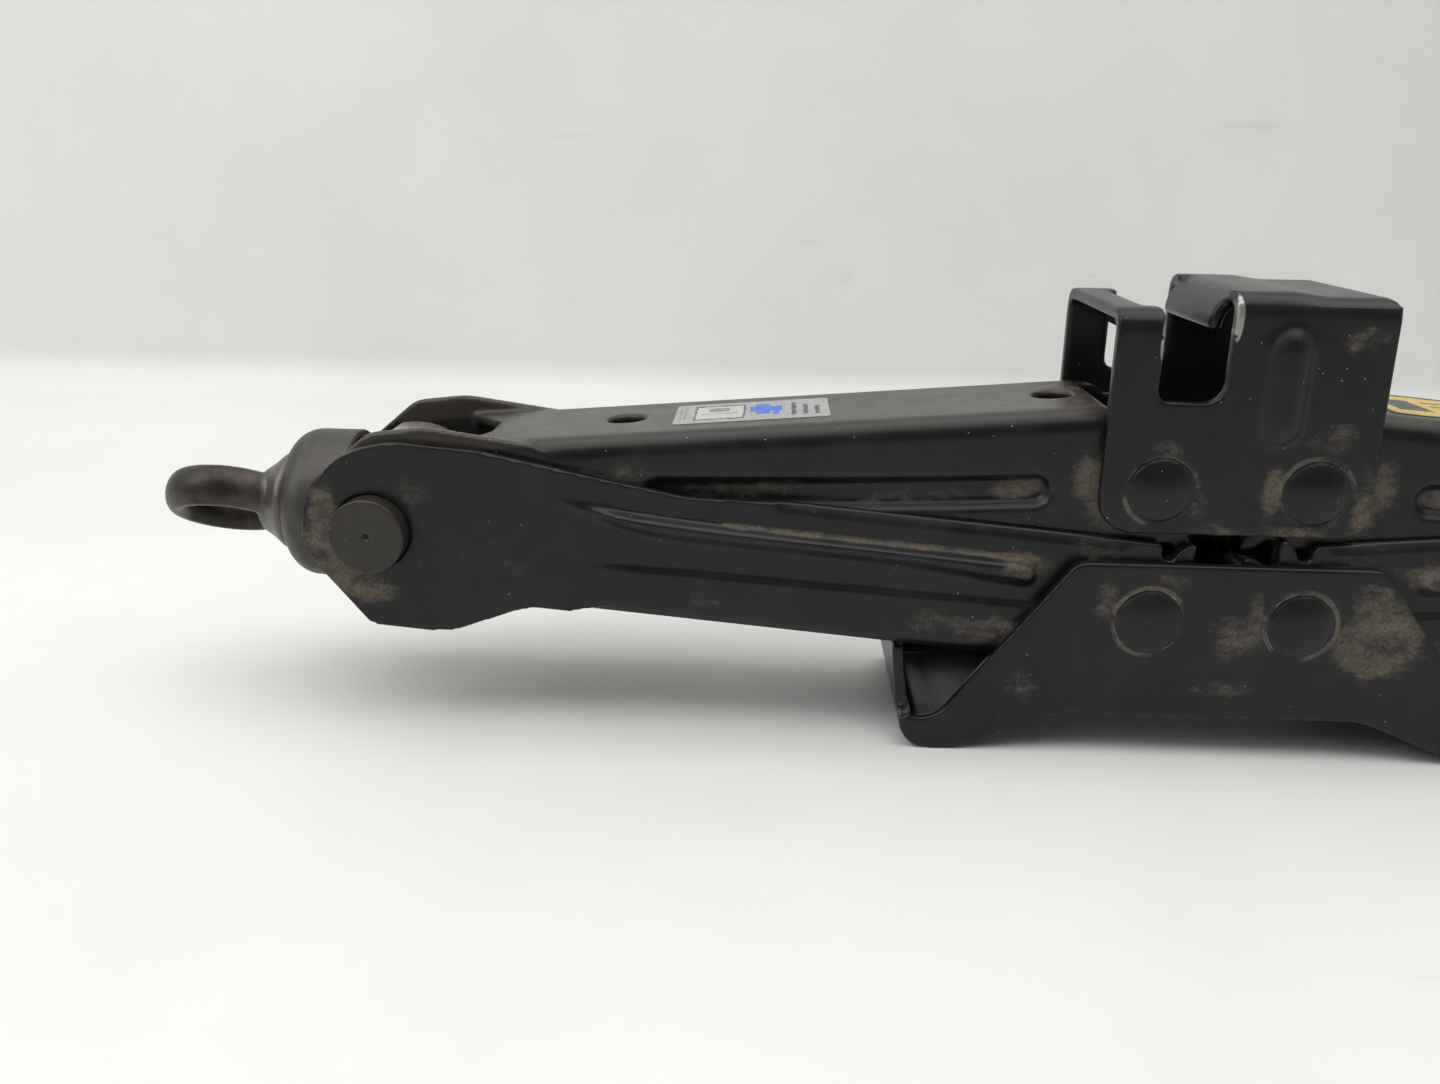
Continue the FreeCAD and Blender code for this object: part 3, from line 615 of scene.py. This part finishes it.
def clear_from_behind(g):
    """Let a view from the sheet's back see through it, so that its wall hides nothing."""
    output = g.tree.get_output_node("ALL")
    front = output.inputs["Surface"].links[0].from_socket
    behind = g.add("ShaderNodeNewGeometry").outputs["Backfacing"]
    clear = g.add("ShaderNodeBsdfTransparent").outputs[0]
    both = g.add("ShaderNodeMixShader")
    g.put(both.inputs[0], behind)
    g.put(both.inputs[1], front)
    g.put(both.inputs[2], clear)
    g.put(output.inputs["Surface"], both.outputs[0])


# ---- pressed parts ------------------------------------------------------------------------------

PRESSED_VOXEL = 0.55 * MM
ARM_ROUNDS = 3
RIVET_VOXEL = 0.4 * MM

# The arms' pressings, in millimetres: places along the arm are measured from its trunnion, and
# heights from the line through its two pivots.
BEAD_START = 37.0
BEAD_END = 131.0
BEAD_PROUD = 2.6
LEDGE_HEIGHT = 9.6
FOOT_HEIGHT = 3.9
JOG_START = 45.0
JOG_HEIGHT = -2.3
JOG_RISE = 1.7 / 90.0  # of the jog's line, per millimetre along the arm
SET_BACK = 0.65  # of the side above the jog
TURNED_IN = 1.1  # of the top edge near the gear
GROOVE_START = 60.0
GROOVE_END = 135.8
GROOVE_DEEP = 2.1
GROOVE_HEIGHT = 0.4

# The saddle, in metres and shares.
BEAD_RAISED = 0.55  # share by which the upright bead is made to stand out further
NOSE_LENGTH = 33.0 * MM
NOSE_RUNOUT = 8.0 * MM
PLATE_SET_DOWN = 0.8 * MM
TOP_LAYER = (2.4 * MM, 1.2 * MM)  # depths below the top between which the set-down fades in
SLOT_RIGHT = 22.6 * MM
SLOT_LEFT = 9.4 * MM


def arm_points(piece, node):
    """The mesh's points with their s along the arm, n across it and depth from the middle plane.

    s, n and depth are in millimetres; the points stay in metres.
    """
    start, along, up = arm_axes(node)
    points = read_points(piece)
    s = (points - start) @ np.array(along) / MM
    n = (points - start) @ np.array(up) / MM
    return points, s, n, np.abs(points[:, 1]) / MM


def set_depth(piece, points, depth):
    """Move each point to this distance in millimetres from the middle plane, on its own side."""
    points[:, 1] = np.sign(points[:, 1]) * depth * MM
    write_points(piece, points)


def lower_arm_shape(piece, node):
    """Press the long bead, the jog below it and the turned-in top edge into both flanges."""
    points, s, n, depth = arm_points(piece, node)
    outside = LOWER_OUTSIDE / MM
    depth = np.minimum(depth, outside + 0.05)
    outer = ramp(depth, outside - 1.9, outside - 0.5)

    # The bead swells between its ledge above and its foot below, and ends in a round.
    past = s - BEAD_START
    ledge = LEDGE_HEIGHT + 2.6 * np.exp(-past / 14.0)
    foot = FOOT_HEIGHT + 4.9 * np.exp(-((past / 13.0) ** 2)) - 1.3 * ramp(s, 105, 135)
    swell = ramp(ledge - n, 0.0, 1.7) * ramp(n - foot, 0.0, 4.4)
    round_end = np.hypot(np.maximum(s - BEAD_END, 0), n - (ledge + foot) / 2)
    bead = swell * ramp(s, BEAD_START - 1, BEAD_START + 13) * (1 - ramp(round_end, 3.0, 6.2))

    jog = JOG_HEIGHT + (s - JOG_START) * JOG_RISE
    set_back = ramp(n - jog, -0.2, 0.8) * ramp(s, 40, 62) * (1 - ramp(s, 143, 150))
    turned_in = ramp(n, 13.3, 16.0) * ramp(s, 81, 85) * (1 - ramp(s, 150, 156))
    pressed = BEAD_PROUD * bead - SET_BACK * set_back - TURNED_IN * turned_in
    set_depth(piece, points, depth + outer * pressed)


def upper_arm_shape(piece, node):
    """Press a round-ended groove into both flanges."""
    points, s, n, depth = arm_points(piece, node)
    from_end = np.clip(GROOVE_END - s, 0, GROOVE_END)
    centre = GROOVE_HEIGHT + 3.0 * (from_end / 66.0) ** 1.3
    away = np.hypot(s - np.clip(s, GROOVE_START, GROOVE_END), n - centre)
    on_flange = ramp(depth, 15.4, 16.4)
    set_depth(piece, points, depth - GROOVE_DEEP * (1 - ramp(away, 1.6, 4.0)) * on_flange)


def saddle_shape(piece):
    """Raise the upright bead further and set the plate down a little behind the raised nose."""
    low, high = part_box("saddle_bracket")
    points = read_points(piece)
    depth = np.abs(points[:, 1])
    proud = np.maximum(depth - LOWER_OUTSIDE, 0)
    points[:, 1] = np.sign(points[:, 1]) * (depth + proud * BEAD_RAISED)
    top = ramp(points[:, 2], high.z - TOP_LAYER[0], high.z - TOP_LAYER[1])
    nose_end = low.x + NOSE_LENGTH
    past_nose = ramp(points[:, 0], nose_end, nose_end + NOSE_RUNOUT)
    points[:, 2] -= PLATE_SET_DOWN * top * past_nose
    write_points(piece, points)


def web_dust_and_sheen(node, g):
    """The upper arm's web, where a thin pale film lies: dust, and a painted sheen of grazing light."""
    _, n = arm_plane(node, g)
    return g.step(n, 14.6, 16.0)


def saddle_chips():
    """Bare metal at the slot's two upper corners."""
    low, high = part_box("saddle_bracket")
    front = -LOWER_OUTSIDE
    return (
        ((low.x + SLOT_RIGHT, front, high.z - 5.0 * MM), 0.7, 4.5),
        ((low.x + SLOT_LEFT, front, high.z - 9.5 * MM), 0.9, 5.0),
    )


def dressed(piece, node, *materials):
    """Give the piece its materials, and let it stand for the node."""
    for material in materials:
        piece.data.materials.append(material)
    stands_for(piece, node)


def arms():
    """The four arms, cut finely, pressed and painted."""
    for node in ARMS:
        _, along, _ = arm_axes(node)
        slope = math.atan(along.z / along.x)
        piece = refined(node, PRESSED_VOXEL, ARM_ROUNDS, slope)
        if node.startswith("lower"):
            lower_arm_shape(piece, node)
            paint = black_paint("paint_" + node, partial(lower_arm_dirt, node))
        else:
            upper_arm_shape(piece, node)
            dirt = partial(upper_arm_dirt, node)
            # The web's pale film is dust together with a painted sheen of grazing light.
            paint = black_paint("paint_" + node, dirt, film=partial(web_dust_and_sheen, node))
        dressed(piece, node, paint)


def brackets():
    """The base and the saddle, cut finely and painted."""
    for node, dirt, pivots, rounds, chips in (
        ("base_bracket", base_dirt(), ("lift_fold", "lower_right_fold"), 8, ()),
        (
            "saddle_bracket",
            saddle_dirt(),
            ("saddle_left_pivot", "saddle_right_pivot"),
            5,
            saddle_chips(),
        ),
    ):
        piece = refined(node, PRESSED_VOXEL, rounds)
        if node == "saddle_bracket":
            saddle_shape(piece)
        pins = tuple((JOINT_AT[p].x, JOINT_AT[p].z) for p in pivots)
        dressed(piece, node, black_paint("paint_" + node, dirt, pins=pins, chips=chips))


def rivets():
    """The four pivot rivets, painted with the rest."""
    paint = black_paint("paint_rivets")
    for node in ("base_pin_left", "base_pin_right", "saddle_pin_left", "saddle_pin_right"):
        dressed(refined(node, RIVET_VOXEL, 3), node, paint)


# ---- drive line ---------------------------------------------------------------------------------

THREAD_PITCH = 3.0 * MM
THREAD_DEPTH = 1.5 * MM
THREAD_FLANK = 0.14  # share of the pitch that half a crest takes, and each flank too
THREAD_START = 14 * MM  # distance from the drive trunnion's axis
THREAD_RUNOUT = 2 * MM
END_CHAMFER = 1.2 * MM
RINGS_PER_TURN = 10
POINTS_AROUND = 36

EYE_DARK = 17 * MM  # lengths from the eye's outer end: nearly black up to here
EYE_LIGHT = 27 * MM  # and grey from here on
CUP_HALF_WALL = 0.8 * MM
HEAD_FILM = 0.75  # strength of the film of dust on the trunnions' heads


def thread_radius(x, high_x, phase, crest):
    """The screw's radius at x; phase is the share of a turn from one root's middle to the next."""
    fade = min(1.0, max(0.0, (x - JOINT_AT["screw_turn"].x - THREAD_START) / THREAD_RUNOUT))
    flank = min(1.0, max(0.0, (abs(phase - 0.5) - THREAD_FLANK) / THREAD_FLANK))
    return crest - THREAD_DEPTH * flank * fade - max(0.0, END_CHAMFER - (high_x - x))


def threaded_screw():
    """The lead screw with its real helical thread, from the drive trunnion to the far end."""
    low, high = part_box("lead_screw")
    crest = (high.z - low.z) / 2
    axis_z = (high.z + low.z) / 2
    around = POINTS_AROUND
    count = int((high.x - low.x) / (THREAD_PITCH / RINGS_PER_TURN))
    vertices = []
    for i in range(count + 1):
        x = low.x + (high.x - low.x) * i / count
        for k in range(around):
            turn = 2 * math.pi * k / around
            phase = (x / THREAD_PITCH - k / around) % 1.0
            radius = thread_radius(x, high.x, phase, crest)
            vertices.append((x, radius * math.cos(turn), axis_z + radius * math.sin(turn)))
    faces = []
    for i in range(count):
        for k in range(around):
            a = i * around + k
            b = i * around + (k + 1) % around
            faces.append((a, b, b + around, a + around))
    faces.append(tuple(reversed(range(around))))
    faces.append(tuple(range(count * around, (count + 1) * around)))
    mesh = bpy.data.meshes.new("visual_lead_screw")
    mesh.from_pydata(vertices, [], faces)
    mesh.flip_normals()
    piece = bpy.data.objects.new("visual_lead_screw", mesh)
    bpy.context.scene.collection.objects.link(piece)
    shade_smooth(piece)
    dressed(piece, "lead_screw", greased_steel("screw_thread", THREAD_STEEL))


def drive_line():
    """The eye, the cup, the trunnions, the screw and the bearing."""
    eye_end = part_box("drive_eye")[0].x
    eye = eye_steel("forged_eye", eye_end + EYE_DARK, eye_end + EYE_LIGHT)
    cup_low, cup_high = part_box("bearing_cup")
    cup_half = (cup_high.z - cup_low.z) / 2
    cup = cup_steel("cup_metal", cup_half - CUP_HALF_WALL, cup_high.x)
    for node, voxel, rounds, metal in (
        ("drive_eye", 0.4 * MM, 14, eye),
        ("bearing_cup", 0.38 * MM, 3, cup),
        ("stop_collar", 0.35 * MM, 2, cup),
    ):
        dressed(refined(node, voxel, rounds), node, metal)
    block = greased_steel("block_steel", BLOCK_STEEL)
    head = black_paint("paint_trunnion_head", film=lambda g: HEAD_FILM)
    for node in ("drive_trunnion", "nut_trunnion"):
        piece = refined(node, 0.42 * MM, 3)
        dressed(piece, node, block, head)
        for face in piece.data.polygons:
            face.material_index = 1 if abs(face.center.y) > UPPER_OUTSIDE else 0
    threaded_screw()
    bearing = greased_steel("bearing_steel", BEARING_STEEL)
    for node in ("eye_pin", "stop_pin", "thrust_washer_fixed", "thrust_washer_turning"):
        repaint(node, bearing)
    repaint("thrust_balls", bearing)
    repaint("ball_cage", greased_steel("cage_steel", CAGE_STEEL))


def repaint(node, material):
    """Give a CAD node that stays as it is another material."""
    mesh = frame["nodes"][node].data
    if not mesh.materials:
        mesh.materials.append(material)
    for i in range(len(mesh.materials)):
        mesh.materials[i] = material


def labels():
    """The two stickers: a rating plate's layout and a caution panel, as plain blocks."""
    grey, dark, blue = PRINT_GREY, PRINT_DARK, PRINT_BLUE
    marks = [(0.035, 0.045, 0.16, 0.84, grey), (0.065, 0.075, 0.16, 0.84, grey)]
    marks += [(0.13, 0.46, 0.14, 0.88, dark), (0.142, 0.448, 0.19, 0.83, PRINT_PALE)]
    marks += [(0.18, 0.41, 0.42, 0.46, grey), (0.22, 0.36, 0.55, 0.74, grey)]
    marks += [(0.49, 0.70, 0.44, 0.72, blue), (0.53, 0.62, 0.30, 0.84, blue)]
    marks += [(0.64, 0.68, 0.26, 0.60, blue)]
    for k in range(3):
        low = 0.76 + 0.075 * k
        marks.append((low, low + 0.03, 0.18, 0.84 - 0.12 * k, dark))
    repaint("rating_label", film_label("silver_film", SILVER_FILM, marks))
    panel = [(0.03, 0.97, 0.05, 0.95, PRINT_YELLOW), (0.10, 0.26, 0.25, 0.75, dark)]
    for k in range(4):
        low = 0.18 + 0.17 * k
        panel.append((0.32, 0.88 - 0.05 * (k % 2), low, low + 0.06, dark))
    repaint("caution_label", film_label("yellow_film", BLACK_FILM, panel))


# ---- stage, light and camera --------------------------------------------------------------------


def backdrop():
    """One sheet: a level floor that sweeps up into a wall behind the jack."""
    half_width, front, turn_at, radius, top = 1.6, -1.2, 0.335, 0.02, 1.5
    profile = [(front, 0.0), (turn_at, 0.0)]
    steps = 12
    for k in range(1, steps + 1):
        angle = math.pi / 2 * k / steps
        height = radius * (1 - math.cos(angle))
        profile.append((turn_at + radius * math.sin(angle), height))
    profile.append((turn_at + radius, top))
    vertices = [(x, y, z) for y, z in profile for x in (-half_width, half_width)]
    faces = [(2 * i, 2 * i + 1, 2 * i + 3, 2 * i + 2) for i in range(len(profile) - 1)]
    mesh = bpy.data.meshes.new("stage_sheet")
    mesh.from_pydata(vertices, [], faces)
    sheet = bpy.data.objects.new("stage_sheet", mesh)
    bpy.context.scene.collection.objects.link(sheet)
    shade_smooth(sheet)
    sheet.data.materials.append(pale_floor())


def area_light(name, place, target, size, power, color):
    """A rectangular lamp of size (width, height) at a place, turned to its target."""
    data = bpy.data.lights.new(name, "AREA")
    data.shape = "RECTANGLE"
    data.size, data.size_y = size
    data.energy = power
    data.color = color
    lamp = bpy.data.objects.new(name, data)
    lamp.location = place
    aim = Vector(target) - Vector(place)
    lamp.rotation_euler = aim.to_track_quat("-Z", "Y").to_euler()
    bpy.context.scene.collection.objects.link(lamp)


ROOM_COLOR = (0.96, 0.975, 0.96, 1)
ROOM_BEHIND = (-0.9, 0.17)  # (Y of a direction, strength of the room's light from there)
ROOM_AHEAD = (0.3, 0.72)
OVERHEAD_WATTS = 12.8
WALL_LAMP_WATTS = 4.6


def lighting():
    """A white room, darker behind the viewer, a soft lamp overhead and one that lights the wall."""
    world = bpy.data.worlds.new("studio")
    world.use_nodes = True
    nodes, links = world.node_tree.nodes, world.node_tree.links
    sky = nodes["Background"]
    sky.inputs["Color"].default_value = ROOM_COLOR
    place = nodes.new("ShaderNodeTexCoord")
    split = nodes.new("ShaderNodeSeparateXYZ")
    fade = nodes.new("ShaderNodeMapRange")
    links.new(place.outputs["Generated"], split.inputs[0])
    links.new(split.outputs["Y"], fade.inputs["Value"])
    fade.inputs["From Min"].default_value, fade.inputs["To Min"].default_value = ROOM_BEHIND
    fade.inputs["From Max"].default_value, fade.inputs["To Max"].default_value = ROOM_AHEAD
    links.new(fade.outputs["Result"], sky.inputs["Strength"])
    bpy.context.scene.world = world
    area_light(
        "overhead", (0.0, -0.12, 1.15), (0, 0.12, 0), (1.8, 1.2), OVERHEAD_WATTS, (1.0, 0.997, 0.98)
    )
    area_light(
        "wall_lamp",
        (-0.9, -0.45, 0.8),
        (-0.25, 0.35, 0.2),
        (0.7, 0.7),
        WALL_LAMP_WATTS,
        (1.0, 1.0, 0.99),
    )


CAMERA_PLACE = Vector((-93.55, -263.37, 118.57)) * MM
CAMERA_YAW = math.radians(-2.145)
CAMERA_PITCH = math.radians(17.289)
CAMERA_ROLL = math.radians(1.039)
CAMERA_LENS = 30.96
SENSOR_WIDTH = 36.0


def camera():
    """The viewing point: just left of the saddle, close by, looking a little down."""
    level, drop = math.cos(CAMERA_PITCH), math.sin(CAMERA_PITCH)
    sideways, forward = math.sin(CAMERA_YAW), math.cos(CAMERA_YAW)
    ahead = Vector((sideways * level, forward * level, -drop))
    flat = Vector((forward, -sideways, 0))
    rise = flat.cross(ahead)
    right = flat * math.cos(CAMERA_ROLL) + rise * math.sin(CAMERA_ROLL)
    up = rise * math.cos(CAMERA_ROLL) - flat * math.sin(CAMERA_ROLL)
    turn = Matrix((right, up, -ahead)).transposed()
    data = bpy.data.cameras.new("viewpoint")
    data.lens = CAMERA_LENS
    data.sensor_width = SENSOR_WIDTH
    data.clip_start = 10 * MM
    eye = bpy.data.objects.new("viewpoint", data)
    eye.matrix_world = Matrix.Translation(CAMERA_PLACE) @ turn.to_4x4()
    bpy.context.scene.collection.objects.link(eye)
    bpy.context.scene.camera = eye


arms()
brackets()
rivets()
drive_line()
labels()
backdrop()
lighting()
camera()
bpy.context.scene.view_settings.view_transform = "Standard"
